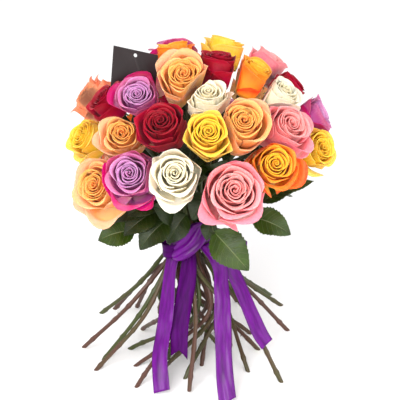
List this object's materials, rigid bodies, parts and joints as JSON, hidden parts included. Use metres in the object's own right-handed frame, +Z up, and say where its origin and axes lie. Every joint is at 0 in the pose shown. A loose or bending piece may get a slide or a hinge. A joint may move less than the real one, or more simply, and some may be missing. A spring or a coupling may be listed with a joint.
{
  "type": "rose bouquet",
  "caption": "Hand-tied bouquet of mixed garden roses that stands on its splayed cut stems, with leaves, a knotted satin ribbon and a plain gift card between the blooms.",
  "frame": {"origin": "middle of the bounding box's underside, on the surface that the cut stem ends stand on", "axes": "+Z up along the bouquet's axis, -Y towards the side with the ribbon knot, +X to the right seen from there"},
  "size_m": [0.3684, 0.3796, 0.4811],
  "materials": {
    "petals_lilac": "satin",
    "petals_coral": "satin",
    "petals_red": "satin",
    "petals_peach": "satin",
    "petals_sunset": "satin",
    "petals_white": "satin",
    "petals_yellow": "satin",
    "petals_pink": "satin",
    "stems_and_leaves": "satin",
    "twine": "matte",
    "purple_satin": "satin",
    "black_card": "matte"
  },
  "bodies": {
    "root": {"binding_twine": "twine", "bloom_coral_back_left": "petals_coral", "bloom_coral_left": "petals_coral", "bloom_lilac_back": "petals_lilac", "bloom_lilac_lower_left": "petals_lilac", "bloom_lilac_right": "petals_lilac", "bloom_lilac_top": "petals_lilac", "bloom_lilac_upper_left": "petals_lilac", "bloom_peach_back_right": "petals_peach", "bloom_peach_left": "petals_peach", "bloom_peach_lower_left": "petals_peach", "bloom_peach_right": "petals_peach", "bloom_peach_top": "petals_peach", "bloom_pink_back_left": "petals_pink", "bloom_pink_back_right": "petals_pink", "bloom_pink_lower": "petals_pink", "bloom_pink_right": "petals_pink", "bloom_pink_top_right": "petals_pink", "bloom_red_back": "petals_red", "bloom_red_front": "petals_red", "bloom_red_left": "petals_red", "bloom_red_right": "petals_red", "bloom_red_top": "petals_red", "bloom_sunset_back_left": "petals_sunset", "bloom_sunset_right": "petals_sunset", "bloom_sunset_top": "petals_sunset", "bloom_sunset_upper_right": "petals_sunset", "bloom_white_back": "petals_white", "bloom_white_lower": "petals_white", "bloom_white_right": "petals_white", "bloom_white_top": "petals_white", "bloom_yellow_back_right": "petals_yellow", "bloom_yellow_centre": "petals_yellow", "bloom_yellow_left": "petals_yellow", "bloom_yellow_right": "petals_yellow", "bloom_yellow_top": "petals_yellow", "gift_card": "black_card", "leafy_stems_ring1_bunch1": "stems_and_leaves", "leafy_stems_ring1_bunch2": "stems_and_leaves", "leafy_stems_ring2_bunch1": "stems_and_leaves", "leafy_stems_ring2_bunch2": "stems_and_leaves", "leafy_stems_ring2_bunch3": "stems_and_leaves", "leafy_stems_ring2_bunch4": "stems_and_leaves", "leafy_stems_ring3_bunch1": "stems_and_leaves", "leafy_stems_ring3_bunch2": "stems_and_leaves", "leafy_stems_ring3_bunch3": "stems_and_leaves", "leafy_stems_ring3_bunch4": "stems_and_leaves", "leafy_stems_ring3_bunch5": "stems_and_leaves", "leafy_stems_ring3_bunch6": "stems_and_leaves", "ribbon_knot": "purple_satin", "ribbon_short_end": "purple_satin", "ribbon_tail_dark": "purple_satin", "ribbon_tail_left": "purple_satin", "ribbon_tail_middle": "purple_satin", "ribbon_tail_right": "purple_satin", "ribbon_wrap": "purple_satin"}
  },
  "joints": []
}
